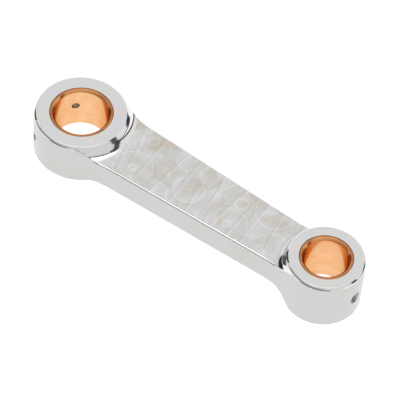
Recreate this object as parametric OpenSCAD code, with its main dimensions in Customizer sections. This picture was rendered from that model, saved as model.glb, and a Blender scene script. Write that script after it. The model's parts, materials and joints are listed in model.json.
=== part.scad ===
// Connecting rod of a small single-cylinder engine: a machined aluminium rod with a
// bronze bush pressed into each eye. The bores run along Z, the rod lies along X, and
// the origin is the centre of the crank-pin bore on the rod's mid-plane.

/* [Rod] */
// Distance between the crank-pin and wrist-pin axes
centre_distance = 54; // [44:0.5:80]
// Width of the beam, extended to the crank-pin axis
beam_w_big = 13.3; // [12:0.1:15]
// Width of the beam, extended to the wrist-pin axis
beam_w_small = 9.9; // [8:0.1:12]
// Thickness of the milled beam
beam_t = 5.4; // [4:0.1:5.8]
// Radius where the beam's sides run into the big end
big_blend_r = 24; // [16:1:30]
// Radius where the beam's sides run into the small end
small_blend_r = 15.5; // [10:0.5:20]
// Radius that the milling cutter leaves round the foot of the big end
big_foot_r = 2.5; // [1:0.1:3]
// Radius that the milling cutter leaves round the foot of the small end
small_foot_r = 1.9; // [1:0.1:2.5]

/* [Big end] */
// Outside diameter of the big end
big_end_d = 17.4; // [16.5:0.1:20]
// Height of the big end along its bore
big_end_h = 9.4; // [9:0.1:12]
// Diameter of the crank pin that runs in the bush
crank_pin_d = 10; // [8:0.5:10.5]

/* [Small end] */
// Outside diameter of the small end
small_end_d = 14.2; // [13:0.1:16]
// Height of the small end along its bore
small_end_h = 10.8; // [9:0.1:13]
// Diameter of the wrist pin that runs in the bush
wrist_pin_d = 8; // [6:0.5:8.5]

/* [Bushes] */
// Wall thickness of both bushes
bush_wall = 0.83; // [0.6:0.01:1.2]
// Running clearance between a pin and its bush, on the diameter
pin_clearance = 0.03; // [0.02:0.01:0.1]
// Chamfer at both mouths of each bore
bore_chamfer = 0.4; // [0.2:0.05:0.4]
// Lead-in chamfer on the outside of each bush
lead_in = 0.12; // [0.05:0.01:0.15]

/* [Edges and oil holes] */
// Size of the 45 degree chamfer round each end
end_chamfer = 0.4; // [0.2:0.05:0.6]
// Diameter of the oil holes
oil_hole_d = 1.5; // [0.8:0.1:2]
// Diameter of the countersunk mouth of each oil hole
oil_mouth_d = 2.5; // [2.1:0.1:3.2]
// Angles of the two big-end oil holes, round the crank-pin axis from the +X direction
big_oil_angles = [139, 229];
// Heights of the two big-end oil holes above the mid-plane
big_oil_heights = [0.6, 0];
// Angle of the small-end oil hole, round the wrist-pin axis from the +X direction
small_oil_angle = -4; // [-30:1:30]
// Height of the small-end oil hole above the mid-plane
small_oil_height = -0.2; // [-1:0.1:1]

/* [Hidden] */
$fn = 128;

big_end_r = big_end_d / 2;
small_end_r = small_end_d / 2;
crank_bore_r = (crank_pin_d + pin_clearance) / 2;
wrist_bore_r = (wrist_pin_d + pin_clearance) / 2;
big_bush_r = crank_bore_r + bush_wall;
small_bush_r = wrist_bore_r + bush_wall;
beam_top = beam_t / 2;

// Solids that are joined or cut overlap by this much, so that no faces only touch
lap = 0.5;
// A blend circle bites this far into the lines that it runs into, so that they cross
bite = 0.001;

// Each side of the beam is a straight line: y = beam_w_big / 2 + side_slope * x
side_slope = (beam_w_small - beam_w_big) / 2 / centre_distance;
side_stretch = sqrt(1 + side_slope * side_slope);
// Unit vector square to the upper side, pointing out of the beam
side_out = [-side_slope, 1] / side_stretch;

// Gap between an end's circle and a blend circle that rests on the beam's side at x
function blend_gap(eye_x, eye_r, blend_r, x) =
    norm([x - eye_x, beam_w_big / 2 + side_slope * x + blend_r * side_stretch])
    - eye_r - blend_r;

// The x at which that gap closes, found by halving the interval between low and high
function blend_x(eye_x, eye_r, blend_r, near, far, steps = 40) =
    steps == 0 ? (near + far) / 2 :
    blend_gap(eye_x, eye_r, blend_r, (near + far) / 2) < 0
        ? blend_x(eye_x, eye_r, blend_r, (near + far) / 2, far, steps - 1)
        : blend_x(eye_x, eye_r, blend_r, near, (near + far) / 2, steps - 1);

// Centre of the circle that blends the upper side of the beam into an end
function blend_centre(eye_x, eye_r, blend_r, way) =
    let (x = blend_x(eye_x, eye_r, blend_r, eye_x, eye_x + way * (eye_r + blend_r)))
    [x, beam_w_big / 2 + side_slope * x + blend_r * side_stretch];

big_blend = blend_centre(0, big_end_r, big_blend_r, 1);
small_blend = blend_centre(centre_distance, small_end_r, small_blend_r, -1);

// Upper half of the beam seen from above, from one bore axis to the other
module beam_half() {
    difference() {
        polygon([
            [0, 0],
            big_blend,
            big_blend - big_blend_r * side_out,
            small_blend - small_blend_r * side_out,
            small_blend,
            [centre_distance, 0],
        ]);
        translate(big_blend) circle(r = big_blend_r + bite);
        translate(small_blend) circle(r = small_blend_r + bite);
    }
}

// The beam seen from above
module beam_outline() {
    beam_half();
    mirror([0, 1]) beam_half();
}

// One end before boring: a cylinder with a chamfer at both faces
module end_blank(r, h) {
    straight = h - 2 * end_chamfer;
    cylinder(r = r, h = straight, center = true);
    for (side = [0, 1])
        mirror([0, 0, side])
            translate([0, 0, straight / 2])
                cylinder(r1 = r, r2 = r - end_chamfer, h = end_chamfer);
}

// Half profile of the concave ring that joins the beam's face to the foot of an end. The
// end's chamfer goes on over the ring, down the 45 degree line through chamfer_foot.
module foot_profile(r, h, foot_r) {
    chamfer_foot = [r, h / 2 - end_chamfer];
    intersection() {
        difference() {
            translate([r - lap, beam_top - lap])
                square([lap + foot_r, lap + foot_r]);
            translate([r + foot_r, beam_top + foot_r])
                circle(r = foot_r);
        }
        polygon([
            [0, 0],
            [0, h / 2 - lap],
            chamfer_foot,
            [chamfer_foot[0] + chamfer_foot[1], 0],
        ]);
    }
}

// Concave rings on both faces of the beam
module foot_ring(r, h, foot_r) {
    for (side = [0, 1])
        mirror([0, 0, side])
            rotate_extrude()
                foot_profile(r, h, foot_r);
}

// Drilled oil hole with a countersunk mouth, from an end's axis out through its wall
module oil_hole(r, angle, height) {
    mouth_depth = (oil_mouth_d - oil_hole_d) / 2;
    translate([0, 0, height])
        rotate([0, 90, angle]) {
            cylinder(d = oil_hole_d, h = r + lap);
            translate([0, 0, r - mouth_depth])
                cylinder(d1 = oil_hole_d, d2 = oil_mouth_d + 2 * lap, h = mouth_depth + lap);
        }
}

module big_end_oil_holes() {
    for (i = [0, 1])
        oil_hole(big_end_r, big_oil_angles[i], big_oil_heights[i]);
}

module small_end_oil_hole() {
    translate([centre_distance, 0, 0])
        oil_hole(small_end_r, small_oil_angle, small_oil_height);
}

// Machined aluminium rod
module rod_body() {
    color([0.82, 0.82, 0.81])
        difference() {
            union() {
                linear_extrude(height = beam_t, center = true) beam_outline();
                intersection() {
                    linear_extrude(height = big_end_h + small_end_h, center = true)
                        beam_outline();
                    union() {
                        foot_ring(big_end_r, big_end_h, big_foot_r);
                        translate([centre_distance, 0, 0])
                            foot_ring(small_end_r, small_end_h, small_foot_r);
                    }
                }
                end_blank(big_end_r, big_end_h);
                translate([centre_distance, 0, 0]) end_blank(small_end_r, small_end_h);
            }
            cylinder(r = big_bush_r, h = big_end_h + 2 * lap, center = true);
            translate([centre_distance, 0, 0])
                cylinder(r = small_bush_r, h = small_end_h + 2 * lap, center = true);
            big_end_oil_holes();
            small_end_oil_hole();
        }
}

// Plain bush with a chamfered bore and a small lead-in on the outside
module bush(bore_r, h) {
    rotate_extrude()
        polygon([
            [bore_r, bore_chamfer - h / 2],
            [bore_r + bore_chamfer, -h / 2],
            [bore_r + bush_wall - lead_in, -h / 2],
            [bore_r + bush_wall, lead_in - h / 2],
            [bore_r + bush_wall, h / 2 - lead_in],
            [bore_r + bush_wall - lead_in, h / 2],
            [bore_r + bore_chamfer, h / 2],
            [bore_r, h / 2 - bore_chamfer],
        ]);
}

module big_end_bush() {
    color([0.86, 0.56, 0.36])
        difference() {
            bush(crank_bore_r, big_end_h);
            big_end_oil_holes();
        }
}

module small_end_bush() {
    color([0.86, 0.56, 0.36])
        difference() {
            translate([centre_distance, 0, 0]) bush(wrist_bore_r, small_end_h);
            small_end_oil_hole();
        }
}

rod_body();
big_end_bush();
small_end_bush();
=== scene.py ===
"""Looks of the connecting rod: a machined aluminium rod with a bronze bush in each eye.

The rod lies along +X with its bores along Z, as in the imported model. Shapes are worked
out in millimetres, and each finished mesh is scaled to metres.
"""

import json
import math
from collections import namedtuple

import bmesh
import bpy
import numpy as np
from mathutils import Matrix, Vector


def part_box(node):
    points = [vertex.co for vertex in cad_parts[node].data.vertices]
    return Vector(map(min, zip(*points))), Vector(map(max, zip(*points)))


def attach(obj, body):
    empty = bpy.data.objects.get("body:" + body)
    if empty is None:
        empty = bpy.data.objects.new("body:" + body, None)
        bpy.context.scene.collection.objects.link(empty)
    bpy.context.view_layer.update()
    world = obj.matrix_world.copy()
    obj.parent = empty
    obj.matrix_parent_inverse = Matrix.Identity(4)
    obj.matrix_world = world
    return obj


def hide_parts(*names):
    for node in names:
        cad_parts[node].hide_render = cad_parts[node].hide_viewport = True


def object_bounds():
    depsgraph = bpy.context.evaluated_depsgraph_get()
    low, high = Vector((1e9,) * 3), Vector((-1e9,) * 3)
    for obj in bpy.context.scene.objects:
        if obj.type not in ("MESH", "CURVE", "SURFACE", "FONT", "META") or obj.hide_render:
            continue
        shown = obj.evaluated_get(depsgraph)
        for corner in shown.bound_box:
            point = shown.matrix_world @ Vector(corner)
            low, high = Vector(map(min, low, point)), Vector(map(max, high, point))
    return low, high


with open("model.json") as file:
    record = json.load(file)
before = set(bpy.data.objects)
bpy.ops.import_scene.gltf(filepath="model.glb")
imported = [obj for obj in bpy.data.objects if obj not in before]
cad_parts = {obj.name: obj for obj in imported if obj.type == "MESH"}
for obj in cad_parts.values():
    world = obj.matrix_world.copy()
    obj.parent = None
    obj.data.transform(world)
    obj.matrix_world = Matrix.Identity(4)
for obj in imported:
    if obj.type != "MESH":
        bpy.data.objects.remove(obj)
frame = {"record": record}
cad_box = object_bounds()

MM = 0.001
MICROMETRE = 1e-6

# ---------------------------------------------------------------- sizes, in millimetres


def mount(name):
    """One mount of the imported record."""
    return next(m for m in frame["record"]["mounts"] if m["name"] == name)


def highest_corner(node):
    """Highest corner of a CAD node, in millimetres."""
    return np.array(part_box(node)[1]) / MM


ROD_HIGH = highest_corner("rod_body")
BIG_BUSH_HIGH = highest_corner("big_end_bush")
SMALL_BUSH_HIGH = highest_corner("small_end_bush")

LENGTH = mount("wrist_pin_bore")["pos_m"][0] / MM
CRANK_BORE_R = mount("crank_pin_bore")["dims"]["r_mm"]
WRIST_BORE_R = mount("wrist_pin_bore")["dims"]["r_mm"]
BORE_CHAMFER = BIG_BUSH_HIGH[2] - mount("crank_pin_bore")["dims"]["length_mm"] / 2

# The beam, its feet and its chamfers have the sizes of the CAD source
BEAM_HALF_BIG = 6.65
BEAM_HALF_SMALL = 4.95
BEAM_TOP = 2.7
END_CHAMFER = 0.4
LEAD_IN = 0.12
OIL_HOLE_R = 0.75
OIL_MOUTH_R = 1.25

# Each oil hole's angle round its bore, in degrees, and its height above the mid-plane
BIG_OIL_HOLES = [(139, 0.6), (229, 0)]
SMALL_OIL_HOLES = [(-4, -0.2)]

# The CAD leaves out the break of the beam's edges. From the beam's face down, it has two
# flat facets, given by their tilt from the vertical and their length.
EDGE_FACETS = [(math.radians(58), 0.17), (math.radians(31), 0.16)]
# Facet under an end's chamfer: its tilt from the vertical, and its reach down the wall
SHOULDER_TILT = math.radians(29)
SHOULDER_SOFT = 0.08
# The facet under the big end's chamfer fades out over this angle, towards the beam
SHOULDER_FADE = math.radians(12)
# Each facet has narrow rows at both edges, so that its middle is shaded flat
FACET_SHARES = (0.12, 0.88, 1)
# Small chamfer at the mouth of each eye, round the bush
EYE_BREAK = 0.04
# Lengths over which the corners of the ends' profiles and the bushes' profiles are rounded
CHAMFER_SOFT = 0.06
EYE_SOFT = 0.02
BUSH_BORE_SOFT = 0.05
LEAD_IN_SOFT = 0.025
# The eye's wall stands off the bush by this much, so that the two never share a face
EYE_GAP = 0.004
# An oil hole's cutter reaches this far past the wall that it cuts
DRILL_PAST = 1
# Tilt of the foot's surface from which it has the finish of the beam's face
SWIRL_TILT = math.radians(66)

# ---------------------------------------------------------------- mesh fineness

BEAM_COLUMNS = 96
BACK_COLUMNS = 160
FOOT_ROWS = 24
RUN_ON_ROWS = 3
WALL_ROWS = 12
BLEND_STATIONS = 16
STRAIGHT_STATIONS = 80
BUSH_COLUMNS = 256
HOLE_COLUMNS = 64
# Longest step along a profile, and the number of steps round one of its soft corners
ROW_STEP = 0.35
CORNER_STEPS = 4
# Points closer than this are welded into one
WELD_DISTANCE = 0.002
# Edges that turn by more than this are shaded sharp
SHARP_ANGLE = math.radians(38)

# Finishes of the rod, in the order of its material slots
SIDE, BEAM, FACE_BIG, FACE_SMALL, POLISHED, BORE = range(6)
# Finishes of a bush, in the order of its material slots
REAMED, TURNED, DULL_SHADED = range(3)


# ---------------------------------------------------------------- mesh building


class Skin:
    """Grids of points that are welded into one closed mesh."""

    def __init__(self):
        self.points = []
        self.faces = []
        self.kinds = []

    def grid(self, rows, kinds):
        """Adds a grid of quads; kinds is one material index, or one for each step of rows."""
        rows = np.asarray(rows, float)
        count, width = rows.shape[:2]
        if isinstance(kinds, int):
            kinds = [kinds] * (count - 1)
        start = len(self.points)
        self.points.extend(rows.reshape(-1, 3).tolist())
        for i in range(count - 1):
            for j in range(width - 1):
                a = start + i * width + j
                self.faces.append((a, a + 1, a + width + 1, a + width))
                self.kinds.append(kinds[i])

    def mesh(self, name):
        """Welds the grids and turns every face outwards."""
        mesh = bpy.data.meshes.new(name)
        mesh.from_pydata(self.points, [], self.faces)
        mesh.polygons.foreach_set("material_index", self.kinds)
        bm = bmesh.new()
        bm.from_mesh(mesh)
        bmesh.ops.remove_doubles(bm, verts=bm.verts, dist=WELD_DISTANCE)
        bmesh.ops.recalc_face_normals(bm, faces=bm.faces)
        bm.to_mesh(mesh)
        bm.free()
        return mesh


def rounded_profile(corners, kinds, setbacks, edge_kind, closed=False):
    """Points of a profile (r, z) with softened corners, and the finish of each step.

    kinds has one entry for each straight stretch, setbacks one length for each corner.
    """
    corners = [np.array(c, float) for c in corners]
    count = len(corners)
    points, finishes = [], []

    def stretch_to(target, kind):
        steps = max(1, math.ceil(np.linalg.norm(target - points[-1]) / ROW_STEP))
        origin = points[-1]
        for k in range(1, steps + 1):
            points.append(origin + (target - origin) * k / steps)
            finishes.append(kind)

    def softened(index):
        here = corners[index]
        before = corners[index - 1] - here
        after = corners[(index + 1) % count] - here
        a = here + before / np.linalg.norm(before) * setbacks[index]
        b = here + after / np.linalg.norm(after) * setbacks[index]
        s = np.linspace(0, 1, CORNER_STEPS + 1)[:, None]
        return (1 - s) ** 2 * a + 2 * s * (1 - s) * here + s**2 * b

    for index in range(count):
        is_end = not closed and index in (0, count - 1)
        curve = [corners[index]] if is_end or setbacks[index] == 0 else softened(index)
        if points:
            stretch_to(np.array(curve[0]), kinds[index - 1])
        else:
            points.append(np.array(curve[0]))
        for point in curve[1:]:
            points.append(np.array(point))
            finishes.append(edge_kind)
    if closed:
        stretch_to(points[0], kinds[-1])
    return np.array(points), finishes


def ring(r, z, angles, eye_x=0, way=1):
    """Points round an eye's axis; r and z are numbers, or have one value for each angle."""
    x = eye_x + way * r * np.cos(angles)
    return np.stack(np.broadcast_arrays(x, r * np.sin(angles), z), -1)


def revolved(profile, angles, eye_x=0):
    """Rows of points from a profile (r, z) turned through the angles about an eye's axis."""
    return np.array([ring(r, z, angles, eye_x) for r, z in profile])


def cut(obj, cutters):
    """Cuts the cutters out of an object exactly and removes them."""
    for cutter in cutters:
        boolean = obj.modifiers.new("cut", "BOOLEAN")
        boolean.operation = "DIFFERENCE"
        boolean.solver = "EXACT"
        boolean.object = cutter
    depsgraph = bpy.context.evaluated_depsgraph_get()
    finished = bpy.data.meshes.new_from_object(obj.evaluated_get(depsgraph))
    obj.modifiers.clear()
    obj.data = finished
    for cutter in cutters:
        bpy.data.objects.remove(cutter)


def new_object(name, mesh):
    """Adds an object to the scene; mesh is the data that it shows, or a camera's."""
    obj = bpy.data.objects.new(name, mesh)
    bpy.context.scene.collection.objects.link(obj)
    return obj


def build_piece(name, mesh, materials, cutters, node):
    """Makes one piece in place of a CAD node: cut, scaled to metres and shaded."""
    for material in materials:
        mesh.materials.append(material)
    obj = new_object(name, mesh)
    cut(obj, cutters)
    obj.data.transform(Matrix.Scale(MM, 4))
    obj.data.shade_smooth()
    obj.data.set_sharp_from_angle(angle=SHARP_ANGLE)
    weighted = obj.modifiers.new("weighted_normals", "WEIGHTED_NORMAL")
    weighted.keep_sharp = True
    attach(obj, "root")
    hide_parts(node)


# ---------------------------------------------------------------- the two ends

# An end's own frame has its bore at the origin and +x towards the beam; way turns it
# back into the rod's frame. half and slope give the beam's side: y = half + slope * x.
End = namedtuple("End", "eye_x way r top eye_r blend_r foot_r half slope face")

SLOPE = (BEAM_HALF_SMALL - BEAM_HALF_BIG) / LENGTH
BIG = End(
    eye_x=0,
    way=1,
    r=ROD_HIGH[1],
    top=BIG_BUSH_HIGH[2],
    eye_r=BIG_BUSH_HIGH[1],
    blend_r=24,
    foot_r=2.5,
    half=BEAM_HALF_BIG,
    slope=SLOPE,
    face=FACE_BIG,
)
SMALL = End(
    eye_x=LENGTH,
    way=-1,
    r=ROD_HIGH[0] - LENGTH,
    top=SMALL_BUSH_HIGH[2],
    eye_r=SMALL_BUSH_HIGH[1],
    blend_r=15.5,
    foot_r=1.9,
    half=BEAM_HALF_SMALL,
    slope=-SLOPE,
    face=FACE_SMALL,
)


def blend_centre(end):
    """Centre of the arc that runs from the end's circle into the side of the beam."""
    m = end.slope
    c = end.half + end.blend_r * math.hypot(1, m)
    reach = end.r + end.blend_r
    root = math.sqrt((c * m) ** 2 - (1 + m * m) * (c * c - reach * reach))
    x = (root - c * m) / (1 + m * m)
    return np.array([x, c + m * x])


def tangent_angle(end):
    """Angle at which the blend arc leaves the end's circle."""
    x, y = blend_centre(end)
    return math.atan2(y, x)


def blend_point(end, turn, inset=0.0):
    """Point of the blend arc after it has turned by an angle, moved into the beam by inset."""
    angle = math.pi + tangent_angle(end) + turn
    return blend_centre(end) + (end.blend_r + inset) * np.array(
        [math.cos(angle), math.sin(angle)]
    )


def turn_at(end, out, inset=0.0):
    """Turn of the blend arc where it is this far out from the end's circle."""
    a = end.r + end.blend_r
    b = end.blend_r + inset
    c = end.r + out
    return math.acos((a * a + b * b - c * c) / (2 * a * b))


def full_turn(end):
    """Turn of the blend arc where it meets the straight side of the beam."""
    out = np.array([-end.slope, 1]) / math.hypot(1, end.slope)
    return math.acos(blend_centre(end) @ out / (end.r + end.blend_r))


def shoulder(end):
    """Height of the lower edge of an end's chamfer."""
    return end.top - END_CHAMFER


def foot_top(end):
    """Height at which the foot leaves the end's wall."""
    return min(shoulder(end), BEAM_TOP + end.foot_r)


def foot_levels(end):
    """Distance out from the end's circle, height and tilt of each row of the foot.

    The foot is a fillet. Where that would rise above the shoulder, the 45 degree line of
    the chamfer runs on down to meet it.
    """
    # Share of the fillet's radius by which it would rise above the foot's top
    above = (BEAM_TOP + end.foot_r - foot_top(end)) / end.foot_r
    # The fillet starts where the chamfer's line meets it
    start = math.pi / 4 - math.acos((1 + above) / math.sqrt(2))
    tilt = np.linspace(start, math.pi / 2, FOOT_ROWS + 1)
    out = end.foot_r * (1 - np.cos(tilt))
    top = BEAM_TOP + end.foot_r * (1 - np.sin(tilt))
    if above > 0:
        share = np.arange(RUN_ON_ROWS) / RUN_ON_ROWS
        out = np.append(share * out[0], out)
        top = np.append(foot_top(end) + share * (top[0] - foot_top(end)), top)
        tilt = np.append(np.full(RUN_ON_ROWS, math.pi / 4), tilt)
    return out, top, tilt


def edge_profile():
    """Points across the edge break: how far out from its inner line, and how far down."""
    points = [np.zeros(2)]
    for tilt, length in EDGE_FACETS:
        start = points[-1]
        step = length * np.array([math.sin(tilt), math.cos(tilt)])
        points.extend(start + share * step for share in FACET_SHARES)
    return np.array(points)


EDGE_PROFILE = edge_profile()
EDGE_OUT, EDGE_DOWN = EDGE_PROFILE[-1]

# A station is one place along the side of the beam: the wall's own line, the line where
# the edge break ends on top, the top's height and the scale of the edge break
Station = namedtuple("Station", "wall inner top edge")


def foot_stations(end):
    """Stations on the blend arc beside the foot, in the end's own frame.

    The edge break grows from nothing at the end's wall to its full size at the beam.
    """
    stations = []
    for out, top, tilt in zip(*foot_levels(end)):
        edge = math.sin(tilt) ** 3 if out > 0 else 0
        inset = EDGE_OUT * edge
        wall = blend_point(end, turn_at(end, out))
        inner = blend_point(end, turn_at(end, out, inset), inset)
        stations.append(Station(wall, inner, top, edge))
    return stations


def arc_stations(end):
    """Stations on the rest of the blend arc, from the foot to the beam's straight side."""
    stations = []
    for share in np.linspace(0, 1, BLEND_STATIONS + 1)[1:]:
        points = []
        for inset in (0, EDGE_OUT):
            start = turn_at(end, end.foot_r, inset)
            points.append(blend_point(end, start + share * (full_turn(end) - start), inset))
        stations.append(Station(points[0], points[1], BEAM_TOP, 1))
    return stations


def in_rod_frame(end, point):
    """Turns a point of an end's own frame into the rod's frame."""
    return np.array([end.eye_x + end.way * point[0], point[1]])


def side_stations():
    """Every station from the big end to the small end, in the rod's frame."""
    halves = []
    for end in (BIG, SMALL):
        halves.append(
            [
                s._replace(wall=in_rod_frame(end, s.wall), inner=in_rod_frame(end, s.inner))
                for s in foot_stations(end) + arc_stations(end)
            ]
        )
    first, last = halves[0][-1], halves[1][-1]
    straight = []
    for share in np.linspace(0, 1, STRAIGHT_STATIONS + 1)[1:-1]:
        wall = first.wall + share * (last.wall - first.wall)
        inner = first.inner + share * (last.inner - first.inner)
        straight.append(Station(wall, inner, BEAM_TOP, 1))
    return halves[0] + straight + halves[1][::-1]


def end_angles(end):
    """Angles of an end's columns: across the beam first, then round the back."""
    limit = tangent_angle(end)
    front = limit * np.linspace(-1, 1, BEAM_COLUMNS + 1)
    back = np.linspace(limit, 2 * math.pi - limit, BACK_COLUMNS + 1)
    return front, back


def shoulder_soft(end, angles):
    """How far the facet under the chamfer reaches down the wall, for each angle."""
    if foot_top(end) < shoulder(end):
        return np.full(angles.shape, SHOULDER_SOFT)
    # Wrapped, so that the angle from the beam is never over half a turn
    from_beam = np.abs(np.angle(np.exp(1j * angles)))
    return SHOULDER_SOFT * np.clip((from_beam - tangent_angle(end)) / SHOULDER_FADE, 0, 1)


def upper_rows(end, angles, wall_kind):
    """Rows of an end from its foot up and into the eye, and the finish of each step."""
    soft = shoulder_soft(end, angles)
    wall_top = shoulder(end) - soft
    levels = [(end.r, np.minimum(foot_top(end), wall_top)), (end.r, wall_top)]
    slope = math.tan(SHOULDER_TILT)
    up_chamfer = soft * slope / (1 - slope)
    for share in FACET_SHARES:
        levels.append((end.r - share * up_chamfer, wall_top + share * (soft + up_chamfer)))
    eye = end.eye_r + EYE_GAP
    corners = [
        (end.r, shoulder(end)),
        (end.r - END_CHAMFER, end.top),
        (eye + EYE_BREAK, end.top),
        (eye, end.top - EYE_BREAK),
        (eye, 0),
    ]
    setbacks = [0, CHAMFER_SOFT, EYE_SOFT, EYE_SOFT, 0]
    stretch_kinds = [POLISHED, end.face, BORE, BORE]
    profile, kinds = rounded_profile(corners, stretch_kinds, setbacks, POLISHED)
    levels.extend(profile[1:])
    rows = [ring(r, z, angles, end.eye_x, end.way) for r, z in levels]
    return np.array(rows), [wall_kind] + [POLISHED] * len(FACET_SHARES) + kinds


def wall_band(end, angles):
    """Rows of an end's wall between its two feet."""
    top = np.minimum(foot_top(end), shoulder(end) - shoulder_soft(end, angles))
    levels = np.linspace(-1, 1, WALL_ROWS + 1)
    return [ring(end.r, level * top, angles, end.eye_x, end.way) for level in levels]


def foot_rows(end, mirror):
    """Rows of the foot, from an end's wall down to the beam's face."""
    outs, tops, _ = foot_levels(end)
    rows = []
    for out, top, station in zip(outs, tops, foot_stations(end)):
        limit = math.atan2(station.inner[1], station.inner[0])
        angles = limit * np.linspace(-1, 1, BEAM_COLUMNS + 1)
        rows.append(ring(end.r + out, mirror * top, angles, end.eye_x, end.way))
    return rows


def foot_kinds(end):
    """The cutter's swirls on the beam run on into the flatter part of the foot."""
    _, _, tilts = foot_levels(end)
    return [BEAM if tilt > SWIRL_TILT else POLISHED for tilt in tilts[1:]]


def beam_face(stations, big_edge, small_edge, mirror):
    """Face of the beam, stretched between both foot rings and both sides.

    It is a Coons patch: the blend from ring to ring plus the blend from side to side, less
    the corners, which both of them count.
    """
    inner = np.array([s.inner for s in stations])
    steps = np.linalg.norm(np.diff(inner, axis=0), axis=1)
    along = (np.concatenate([[0], np.cumsum(steps)]) / steps.sum())[:, None, None]
    across = np.linspace(0, 1, BEAM_COLUMNS + 1)[None, :, None]
    low = inner[:, None, :] * [1, -1]
    high = inner[:, None, :]
    start = big_edge[None, :, :2]
    stop = small_edge[None, :, :2]
    flat = (1 - along) * start + along * stop + (1 - across) * low + across * high
    flat = flat - (1 - along) * ((1 - across) * start[:, :1] + across * start[:, -1:])
    flat = flat - along * ((1 - across) * stop[:, :1] + across * stop[:, -1:])
    height = np.full(flat.shape[:2] + (1,), mirror * BEAM_TOP)
    return np.concatenate([flat, height], -1)


def side_wall(stations, side):
    """Rows of one side wall of the beam, between its lower and upper edge break."""
    rows = []
    for level in np.linspace(-1, 1, WALL_ROWS + 1):
        row = []
        for s in stations:
            row.append((*(s.wall * [1, side]), level * (s.top - s.edge * EDGE_DOWN)))
        rows.append(row)
    return rows


def edge_break(stations, side, mirror):
    """Rows across the edge break, from the beam's face down to its side wall."""
    rows = []
    for out, down in EDGE_PROFILE:
        row = []
        for s in stations:
            point = s.inner + (s.wall - s.inner) * out / EDGE_OUT
            row.append((*(point * [1, side]), mirror * (s.top - s.edge * down)))
        rows.append(row)
    return rows


def rod_mesh():
    """The whole rod, without its oil holes: both ends, their feet, the beam and its edges."""
    skin = Skin()
    for end in (BIG, SMALL):
        front, back = end_angles(end)
        skin.grid(wall_band(end, back), SIDE)
        for mirror in (1, -1):
            for angles, wall_kind in ((front, POLISHED), (back, SIDE)):
                rows, kinds = upper_rows(end, angles, wall_kind)
                skin.grid(rows * [1, 1, mirror], kinds)
            skin.grid(foot_rows(end, mirror), foot_kinds(end))
    stations = side_stations()
    # The beam's face lies between the last station of one foot and the first of the other
    beam_stations = stations[len(foot_stations(BIG)) - 1 : 1 - len(foot_stations(SMALL))]
    for mirror in (1, -1):
        big_edge = foot_rows(BIG, mirror)[-1]
        small_edge = foot_rows(SMALL, mirror)[-1]
        skin.grid(beam_face(beam_stations, big_edge, small_edge, mirror), BEAM)
    for side in (1, -1):
        skin.grid(side_wall(stations, side), SIDE)
        for mirror in (1, -1):
            skin.grid(edge_break(stations, side, mirror), POLISHED)
    return skin.mesh("rod_body_shape")


def bush_mesh(name, bore_r, end):
    """Plain bush: chamfered bore, flat ends, a small lead-in on the outside.

    Its profile starts at the upper bore chamfer and runs over the top, down the outside
    and back under the bottom. The lower half is the upper half mirrored.
    """
    top = end.top
    half = [
        (bore_r, top - BORE_CHAMFER),
        (bore_r + BORE_CHAMFER, top),
        (end.eye_r - LEAD_IN, top),
        (end.eye_r, top - LEAD_IN),
    ]
    corners = half + [(r, -z) for r, z in half[::-1]]
    half_setbacks = [BUSH_BORE_SOFT, BUSH_BORE_SOFT, LEAD_IN_SOFT, LEAD_IN_SOFT]
    setbacks = half_setbacks + half_setbacks[::-1]
    half_kinds = [TURNED, DULL_SHADED, DULL_SHADED]
    stretch_kinds = half_kinds + [DULL_SHADED] + half_kinds[::-1] + [REAMED]
    profile, kinds = rounded_profile(corners, stretch_kinds, setbacks, TURNED, closed=True)
    skin = Skin()
    angles = np.linspace(0, 2 * math.pi, BUSH_COLUMNS + 1)
    skin.grid(revolved(profile, angles, end.eye_x), kinds)
    return skin.mesh(name)


def oil_hole_cutter(end, angle, height, kind):
    """Drill with a countersink, pointing out of an eye at an angle in degrees.

    It starts half way from the eye's axis to the eye's wall, inside the open bore.
    """
    mouth = OIL_MOUTH_R - OIL_HOLE_R
    profile = np.array(
        [
            (0, end.eye_r / 2),
            (OIL_HOLE_R, end.eye_r / 2),
            (OIL_HOLE_R, end.r - mouth),
            (OIL_MOUTH_R + DRILL_PAST, end.r + DRILL_PAST),
            (0, end.r + DRILL_PAST),
        ]
    )
    skin = Skin()
    turns = np.linspace(0, 2 * math.pi, HOLE_COLUMNS + 1)
    skin.grid(revolved(profile, turns), kind)
    cutter = new_object("cutter", skin.mesh("cutter"))
    lay_down = Matrix.Rotation(math.pi / 2, 4, "Y")
    turn = Matrix.Rotation(math.radians(angle), 4, "Z")
    cutter.matrix_world = Matrix.Translation((end.eye_x, 0, height)) @ turn @ lay_down
    return cutter


def oil_hole_cutters(end, holes, kind):
    """Drills for an end's oil holes; kind is the finish that they leave."""
    return [oil_hole_cutter(end, angle, height, kind) for angle, height in holes]


# ---------------------------------------------------------------- materials


def add_node(tree, kind, links, **settings):
    """Adds a node; links maps an input to a socket of another node or to a value."""
    node = tree.nodes.new(kind)
    for key, value in settings.items():
        setattr(node, key, value)
    for key, value in links.items():
        if isinstance(value, bpy.types.NodeSocket):
            tree.links.new(value, node.inputs[key])
        else:
            node.inputs[key].default_value = value
    return node


def calculate(tree, operation, *values):
    """Output of a Math node."""
    return add_node(
        tree, "ShaderNodeMath", dict(enumerate(values)), operation=operation
    ).outputs[0]


def smooth_step(tree, value, low, high):
    """Rises smoothly from 0 at low to 1 at high, or falls if low is above high."""
    if low > high:
        return calculate(tree, "SUBTRACT", 1, smooth_step(tree, value, high, low))
    links = {"Value": value, "From Min": low, "From Max": high}
    return add_node(
        tree, "ShaderNodeMapRange", links, interpolation_type="SMOOTHSTEP"
    ).outputs[0]


def spread(tree, value, low, high):
    """Maps 0 to 1 onto low to high."""
    links = {"Value": value, "To Min": low, "To Max": high}
    return add_node(tree, "ShaderNodeMapRange", links).outputs[0]


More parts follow.
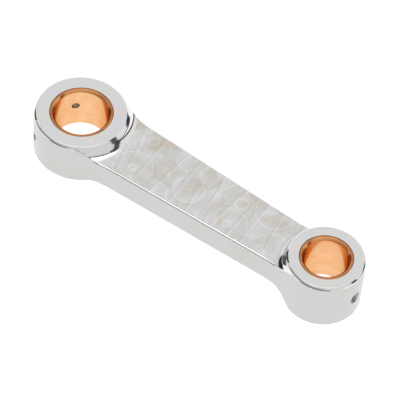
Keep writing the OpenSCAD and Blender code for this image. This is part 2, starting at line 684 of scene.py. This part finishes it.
def combine(tree, x=0.0, y=0.0, z=0.0):
    """Vector of three numbers or sockets."""
    return add_node(tree, "ShaderNodeCombineXYZ", {"X": x, "Y": y, "Z": z}).outputs[0]


def noise(tree, vector, scale, detail=2.0, roughness=0.5, distortion=0.0):
    """Noise round 0.5; scale is about its number of features in one unit of the vector."""
    links = {
        "Vector": vector,
        "Scale": scale,
        "Detail": detail,
        "Roughness": roughness,
        "Distortion": distortion,
    }
    return add_node(tree, "ShaderNodeTexNoise", links).outputs["Fac"]


def color_ramp(tree, value, stops):
    """Colour that runs through the stops, which are pairs of a place and a colour."""
    ramp = add_node(tree, "ShaderNodeValToRGB", {"Fac": value})
    elements = ramp.color_ramp.elements
    while len(elements) < len(stops):
        elements.new(1)
    for element, (place, color) in zip(elements, stops):
        element.position = place
        element.color = (*color, 1)
    return ramp.outputs["Color"]


def brightened(tree, color, factor):
    """Colour multiplied by a factor that varies over the surface."""
    node = add_node(tree, "ShaderNodeVectorMath", {0: color}, operation="SCALE")
    tree.links.new(factor, node.inputs["Scale"])
    return node.outputs[0]


class Metal:
    """A metal finish in the making, with the position on the surface in millimetres."""

    def __init__(self, name):
        self.material = bpy.data.materials.new(name)
        self.material.use_nodes = True
        self.tree = self.material.node_tree
        self.shader = self.tree.nodes["Principled BSDF"]
        self.shader.inputs["Metallic"].default_value = 1
        coordinates = self.tree.nodes.new("ShaderNodeTexCoord").outputs["Object"]
        scaled = add_node(
            self.tree, "ShaderNodeVectorMath", {0: coordinates, "Scale": 1 / MM}, operation="SCALE"
        )
        self.position = scaled.outputs[0]
        split = add_node(self.tree, "ShaderNodeSeparateXYZ", {0: self.position})
        self.x, self.y, self.z = split.outputs

    def radius(self, eye_x):
        """Distance from an eye's axis."""
        x = calculate(self.tree, "SUBTRACT", self.x, eye_x)
        flat = combine(self.tree, x, self.y)
        length = add_node(self.tree, "ShaderNodeVectorMath", {0: flat}, operation="LENGTH")
        return length.outputs["Value"]

    def finish(self, color, roughness, height, depth):
        """Links colour, roughness and a height map that is depth micrometres deep."""
        relief = {"Height": height, "Strength": 1.0, "Distance": depth * MICROMETRE}
        bump = add_node(self.tree, "ShaderNodeBump", relief)
        for key, value in (
            ("Base Color", color),
            ("Roughness", roughness),
            ("Normal", bump.outputs["Normal"]),
        ):
            self.tree.links.new(value, self.shader.inputs[key])
        return self.material


# Shades of the satin side walls
WARM = (0.56, 0.547, 0.53)
NEUTRAL = (0.563, 0.558, 0.549)
COOL = (0.557, 0.56, 0.562)
# Shades of the milled beam's patches, from a stain to bare metal
STAINED = (0.60, 0.54, 0.47)
YELLOWISH = (0.605, 0.595, 0.55)
GREY = (0.645, 0.635, 0.62)
PEARLY = (0.71, 0.69, 0.71)
# Tint of bronze's reflection at a grazing angle
GRAZING_BRONZE = (0.66, 0.4, 0.24)


def satin_aluminium():
    """Side walls: finely milled along the rod, with soft warm and cool patches."""
    m = Metal("satin_aluminium")
    t = m.tree
    patches = noise(t, m.position, scale=0.12, detail=1)
    color = color_ramp(t, patches, [(0.35, WARM), (0.5, NEUTRAL), (0.65, COOL)])
    stretched = add_node(
        t, "ShaderNodeVectorMath", {0: m.position, 1: (0.05, 0.05, 1)}, operation="MULTIPLY"
    )
    lines = noise(t, stretched.outputs[0], scale=9, detail=4, roughness=0.6)
    grain = noise(t, m.position, scale=12, detail=3, roughness=0.6)
    height = calculate(t, "MULTIPLY_ADD", grain, 0.4, lines)
    return m.finish(color, spread(t, lines, 0.26, 0.38), height, depth=1.2)


def pass_line(tree, place, width):
    """Lines at uneven distances, where one pass of the cutter ends and the next begins."""
    cells = add_node(
        tree,
        "ShaderNodeTexVoronoi",
        {"W": place, "Scale": 0.3, "Randomness": 0.8},
        voronoi_dimensions="1D",
        feature="DISTANCE_TO_EDGE",
    )
    return smooth_step(tree, cells.outputs["Distance"], width, 0.0)


def milled_aluminium():
    """Beam faces: cutter passes across the beam, swirls inside them, pearly patches, with painted
    sheen on the swirls' arcs, a painted highlight on each pass's ridge and painted shade in its
    groove.
    """
    m = Metal("milled_aluminium")
    t = m.tree
    # Place along the rod, sheared a little more or less, so that no two passes are parallel
    sway = noise(t, combine(t, x=m.x), scale=0.13, detail=0)
    tilt = calculate(t, "MULTIPLY", calculate(t, "SUBTRACT", sway, 0.45), m.y)
    across = calculate(t, "MULTIPLY_ADD", tilt, 1.1, m.x)
    # Each pass ends in a ridge with a groove beside it, both in the height map; the ridge's colour
    # is brightened as a painted highlight and the groove's darkened as painted shade
    ridge_with_painted_highlight = pass_line(t, across, 0.11)
    groove_with_painted_shade = pass_line(t, calculate(t, "ADD", across, 0.45), 0.08)
    # Swirls are rings at uneven distances round scattered centres
    swirl_cells = add_node(
        t, "ShaderNodeTexVoronoi", {"Vector": m.position, "Scale": 0.16, "Randomness": 1.0}
    )
    swirl = calculate(t, "MULTIPLY", swirl_cells.outputs["Distance"], 8)
    rings = noise(t, combine(t, x=swirl), scale=1.2, roughness=0.6)
    # Whitish arcs on the swirl rings, painted into the colour below as sheen
    painted_arc_sheen = smooth_step(t, rings, 0.54, 0.68)
    streaks = noise(t, combine(t, across, calculate(t, "MULTIPLY", m.y, 0.12)), scale=0.9)
    grain = noise(t, m.position, scale=7, detail=3, roughness=0.6)
    marks = calculate(t, "MULTIPLY_ADD", rings, 0.7, calculate(t, "MULTIPLY", streaks, 0.3))
    height = calculate(t, "MULTIPLY_ADD", ridge_with_painted_highlight, 0.25, marks)
    height = calculate(t, "MULTIPLY_ADD", groove_with_painted_shade, -0.25, height)
    height = calculate(t, "MULTIPLY_ADD", grain, 0.12, height)
    tones = noise(t, m.position, scale=0.3, detail=3, distortion=0.6)
    stops = [(0.27, STAINED), (0.37, YELLOWISH), (0.5, GREY), (0.68, PEARLY)]
    color = color_ramp(t, tones, stops)
    shade = spread(t, marks, 0.78, 1.22)
    # Painted sheen along the swirl arcs
    shade = calculate(t, "MULTIPLY_ADD", painted_arc_sheen, 0.09, shade)
    # Painted highlight on each ridge, then painted shade in each groove
    shade = calculate(t, "MULTIPLY_ADD", ridge_with_painted_highlight, 0.07, shade)
    shade = calculate(t, "MULTIPLY_ADD", groove_with_painted_shade, -0.08, shade)
    return m.finish(brightened(t, color, shade), spread(t, streaks, 0.2, 0.34), height, depth=6)


def turned_face(name, eye_x):
    """End face: fine rings left by the facing cut, with faint tints of diffraction."""
    m = Metal(name)
    t = m.tree
    radius = m.radius(eye_x)
    rings = noise(t, combine(t, x=radius), scale=9, detail=4, roughness=0.65)
    drift = noise(t, m.position, scale=0.35, distortion=0.4)
    color = color_ramp(
        t,
        drift,
        [
            (0.3, (0.735, 0.67, 0.7)),
            (0.4, (0.685, 0.69, 0.73)),
            (0.5, (0.7, 0.69, 0.685)),
            (0.58, (0.68, 0.71, 0.675)),
            (0.68, (0.74, 0.69, 0.665)),
        ],
    )
    shade = spread(t, rings, 0.94, 1.06)
    return m.finish(brightened(t, color, shade), spread(t, rings, 0.2, 0.34), rings, depth=1.5)


def polished_aluminium():
    """Chamfers, boss walls and edges: bright turning with hair-fine lines."""
    m = Metal("polished_aluminium")
    t = m.tree
    lines = noise(t, combine(t, z=m.z), scale=14, detail=3, roughness=0.6)
    smudge = noise(t, m.position, scale=0.8, detail=3, roughness=0.6)
    color = color_ramp(t, smudge, [(0.3, (0.74, 0.735, 0.72)), (0.7, (0.77, 0.775, 0.78))])
    return m.finish(color, spread(t, smudge, 0.04, 0.12), lines, depth=0.25)


def bored_aluminium():
    """Inside of the eyes and the small end's oil hole: drill marks, and a colour painted much
    darker than outside as shade in these recesses.
    """
    m = Metal("bored_aluminium")
    t = m.tree
    lines = noise(t, combine(t, z=m.z), scale=10, detail=3, roughness=0.6)
    grain = noise(t, m.position, scale=5, detail=3)
    # Dark colour: painted shade inside the eyes and the oil hole
    color = color_ramp(t, grain, [(0.3, (0.2, 0.2, 0.19)), (0.7, (0.42, 0.42, 0.41))])
    return m.finish(color, spread(t, grain, 0.15, 0.3), lines, depth=4)


def bronze(name, deep, bright, roughness, depth):
    """Bronze with turning lines round the bore and a slow drift from deep to bright."""
    m = Metal(name)
    m.shader.inputs["Specular Tint"].default_value = (*GRAZING_BRONZE, 1)
    t = m.tree
    bands = noise(t, combine(t, z=m.z), scale=1.6, detail=4, roughness=0.6)
    drift = noise(t, m.position, scale=0.5)
    tones = calculate(t, "MULTIPLY_ADD", bands, 0.5, drift)
    color = color_ramp(t, tones, [(0.5, deep), (1, bright)])
    wavering = combine(t, x=calculate(t, "MULTIPLY", drift, 0.4), z=m.z)
    fine = noise(t, wavering, scale=9, detail=3, roughness=0.6)
    return m.finish(color, spread(t, bands, *roughness), fine, depth)


side_material = satin_aluminium()
beam_material = milled_aluminium()
face_big_material = turned_face("turned_face_big", 0)
face_small_material = turned_face("turned_face_small", LENGTH)
polished_material = polished_aluminium()
bore_material = bored_aluminium()
bush_bore_material = bronze(
    "reamed_bronze",
    deep=(0.8, 0.43, 0.21),
    bright=(0.88, 0.54, 0.3),
    roughness=(0.1, 0.2),
    depth=0.8,
)
bush_edge_material = bronze(
    "turned_bronze",
    deep=(0.72, 0.31, 0.12),
    bright=(0.8, 0.37, 0.155),
    roughness=(0.16, 0.26),
    depth=0.5,
)
# The bush's end faces, lead-ins and outside wall are painted dark brown as shade, and are also a
# little rougher
bush_outside_shaded_material = bronze(
    "dull_bronze",
    deep=(0.38, 0.155, 0.06),
    bright=(0.5, 0.22, 0.09),
    roughness=(0.2, 0.3),
    depth=1,
)

# ---------------------------------------------------------------- the three pieces

build_piece(
    "rod_body_visual",
    rod_mesh(),
    [
        side_material,
        beam_material,
        face_big_material,
        face_small_material,
        polished_material,
        bore_material,
    ],
    oil_hole_cutters(BIG, BIG_OIL_HOLES, SIDE) + oil_hole_cutters(SMALL, SMALL_OIL_HOLES, BORE),
    "rod_body",
)
build_piece(
    "big_end_bush_visual",
    bush_mesh("big_end_bush_shape", CRANK_BORE_R, BIG),
    [bush_bore_material, bush_edge_material, bush_outside_shaded_material],
    oil_hole_cutters(BIG, BIG_OIL_HOLES, REAMED),
    "big_end_bush",
)
build_piece(
    "small_end_bush_visual",
    bush_mesh("small_end_bush_shape", WRIST_BORE_R, SMALL),
    [bush_bore_material, bush_edge_material, bush_outside_shaded_material],
    oil_hole_cutters(SMALL, SMALL_OIL_HOLES, REAMED),
    "small_end_bush",
)

# ---------------------------------------------------------------- floor, light and camera

FLOOR_Z = cad_box[0][2]
# Half the width of the table, in metres
FLOOR_REACH = 2

floor_mesh = bpy.data.meshes.new("floor")
floor_bm = bmesh.new()
bmesh.ops.create_grid(floor_bm, x_segments=1, y_segments=1, size=FLOOR_REACH)
floor_bm.to_mesh(floor_mesh)
floor_bm.free()
floor = new_object("floor", floor_mesh)
floor.location.z = FLOOR_Z
floor_material = bpy.data.materials.new("white_table")
floor_material.use_nodes = True
floor_shader = floor_material.node_tree.nodes["Principled BSDF"]
floor_shader.inputs["Base Color"].default_value = (0.08, 0.08, 0.08, 1)
floor_shader.inputs["Roughness"].default_value = 0.9
floor_shader.inputs["Emission Color"].default_value = (1, 1, 1, 1)
floor_shader.inputs["Emission Strength"].default_value = 1.08
floor_mesh.materials.append(floor_material)

# The camera looks at its target from this distance; lengths are in millimetres
CAMERA_AZIMUTH = math.radians(31.77)
CAMERA_ELEVATION = math.radians(51.70)
CAMERA_ROLL = math.radians(5.309)
CAMERA_DISTANCE = 467.4
CAMERA_TARGET = Vector((26.11, 1.444, -2.0))
CAMERA_LENS = 232.4

right = Vector((math.cos(CAMERA_AZIMUTH), math.sin(CAMERA_AZIMUTH), 0))
away = Vector((-math.sin(CAMERA_AZIMUTH), math.cos(CAMERA_AZIMUTH), 0))
upward = Vector((0, 0, 1))
forward = away * math.cos(CAMERA_ELEVATION) - upward * math.sin(CAMERA_ELEVATION)
level_up = away * math.sin(CAMERA_ELEVATION) + upward * math.cos(CAMERA_ELEVATION)
camera_right = right * math.cos(CAMERA_ROLL) + level_up * math.sin(CAMERA_ROLL)
camera_up = level_up * math.cos(CAMERA_ROLL) - right * math.sin(CAMERA_ROLL)

# The studio is a light-grey tent. A direction in it is given by azimuth, which is 0 to the
# right of the picture and 90 to the far side, and by height above the table, in degrees.
world = bpy.data.worlds.new("studio")
bpy.context.scene.world = world
world.use_nodes = True
sky = world.node_tree
direction = sky.nodes.new("ShaderNodeTexCoord").outputs["Generated"]


def toward(vector):
    """How far the looked-at direction agrees with a vector, from -1 to 1."""
    links = {0: direction, 1: tuple(vector)}
    return add_node(sky, "ShaderNodeVectorMath", links, operation="DOT_PRODUCT").outputs["Value"]


def level_direction(azimuth):
    """Direction along the table at an azimuth in degrees."""
    turn = math.radians(azimuth)
    return right * math.cos(turn) + away * math.sin(turn)


def sine(degrees):
    return math.sin(math.radians(degrees))


# Sine of the looked-at direction's height above the table, its opposite, and its cosine
risen = toward(upward)
fallen = calculate(sky, "MULTIPLY", risen, -1)
level = calculate(sky, "SQRT", calculate(sky, "MULTIPLY_ADD", risen, fallen, 1))

# A patch of the tent reaches half_width to both sides of an azimuth, and from low to high.
# Its edges are softened over soft, and it has a tone of its own.
Patch = namedtuple("Patch", "azimuth half_width low high soft tone")


def inside_patch(p):
    """1 inside a patch of the tent and 0 outside it."""
    across = calculate(sky, "DIVIDE", toward(level_direction(p.azimuth)), level)
    edge = 90 - p.half_width
    beside = smooth_step(sky, across, sine(edge - p.soft), sine(edge))
    above = smooth_step(sky, risen, sine(p.low - p.soft), sine(p.low))
    below = smooth_step(sky, risen, sine(p.high + p.soft), sine(p.high))
    return calculate(sky, "MULTIPLY", beside, calculate(sky, "MULTIPLY", above, below))


def toned(light, share, tone):
    """The light, drawn towards a tone where share is 1."""
    return add_node(sky, "ShaderNodeMix", {"Factor": share, "A": light, "B": tone}).outputs[0]


TENT_TONE = 0.95
# Two walls of the tent on the camera's side, then the dark gaps in and between the walls
PATCHES = [
    Patch(azimuth=-60, half_width=55, low=0, high=50, soft=6, tone=0.82),
    Patch(azimuth=-140, half_width=50, low=0, high=48, soft=6, tone=0.7),
    Patch(azimuth=-140, half_width=45, low=17, high=31, soft=5, tone=0.38),
    Patch(azimuth=-135, half_width=60, low=-5, high=12, soft=3, tone=0.15),
    Patch(azimuth=-58, half_width=34, low=47, high=52, soft=3, tone=0.1),
    Patch(azimuth=-11, half_width=4, low=-2, high=48, soft=5, tone=0.1),
    Patch(azimuth=-12, half_width=9, low=38, high=46, soft=4, tone=0.06),
    Patch(azimuth=147, half_width=12, low=-3, high=38, soft=3, tone=0.03),
    Patch(azimuth=20, half_width=32, low=-1, high=9, soft=3, tone=0.05),
]
# A bright panel hangs overhead on the camera's side, and is full from this height up
OVERHEAD_TONE = 1.9
OVERHEAD_HEIGHT = 57
OVERHEAD_SOFT = 4
# Its far edge, as the sines of the angles by which it lies on the camera's side
OVERHEAD_FAR_EDGE = (-0.25, 0.1)
# The camera itself sees a plain white background
BACKGROUND_TONE = 1.0

near_side = smooth_step(sky, toward(-away), *OVERHEAD_FAR_EDGE)
high_up = smooth_step(sky, risen, sine(OVERHEAD_HEIGHT - OVERHEAD_SOFT), sine(OVERHEAD_HEIGHT))
light = toned(TENT_TONE, calculate(sky, "MULTIPLY", near_side, high_up), OVERHEAD_TONE)
for tent_patch in PATCHES:
    light = toned(light, inside_patch(tent_patch), tent_patch.tone)
seen = sky.nodes.new("ShaderNodeLightPath").outputs["Is Camera Ray"]
light = toned(light, seen, BACKGROUND_TONE)
sky.nodes["Background"].inputs["Color"].default_value = (1, 1, 1, 1)
sky.links.new(light, sky.nodes["Background"].inputs["Strength"])

camera_data = bpy.data.cameras.new("camera")
camera_data.sensor_width = 36
camera_data.lens = CAMERA_LENS
camera_data.clip_start = 0.01
camera_data.clip_end = 10
camera = new_object("camera", camera_data)
turned = Matrix((camera_right, camera_up, -forward)).transposed().to_4x4()
place = (CAMERA_TARGET - forward * CAMERA_DISTANCE) * MM
camera.matrix_world = Matrix.Translation(place) @ turned
bpy.context.scene.camera = camera
bpy.context.scene.view_settings.view_transform = "Standard"
